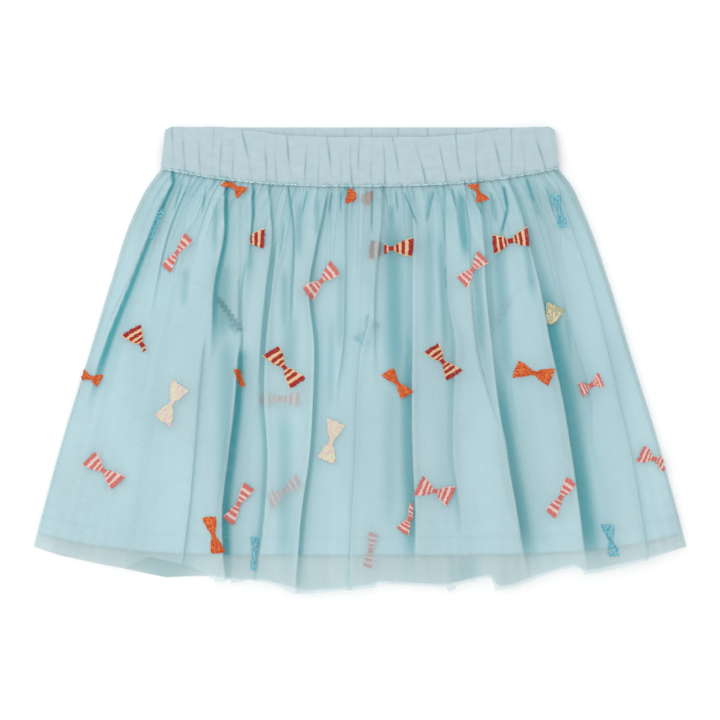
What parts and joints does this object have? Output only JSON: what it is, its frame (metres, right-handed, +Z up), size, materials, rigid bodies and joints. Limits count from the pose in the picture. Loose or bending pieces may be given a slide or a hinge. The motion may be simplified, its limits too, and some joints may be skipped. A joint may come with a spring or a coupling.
{
  "type": "tutu skirt",
  "caption": "Child's gathered net skirt with an elastic waistband, a plain lining and pocket bags, laid flat on its back.",
  "frame": {"origin": "middle of the outline, on the table that the skirt lies on", "axes": "+X across the waist to the picture's right, +Y from the hem to the waist, +Z up from the table through the front panel"},
  "size_m": [0.414, 0.2952, 0.0179],
  "materials": {
    "net": "matt pale blue net, slightly see-through",
    "lining": "matt pale blue fine jersey",
    "pocket": "matt pale blue fine jersey",
    "band": "matt pale blue cotton over elastic"
  },
  "bodies": {
    "root": {"net_back": "net", "lining_back": "lining", "lining_front": "lining", "pocket_left": "pocket", "pocket_right": "pocket", "net_front": "net", "waistband_back": "band", "waistband_front": "band"}
  },
  "joints": []
}
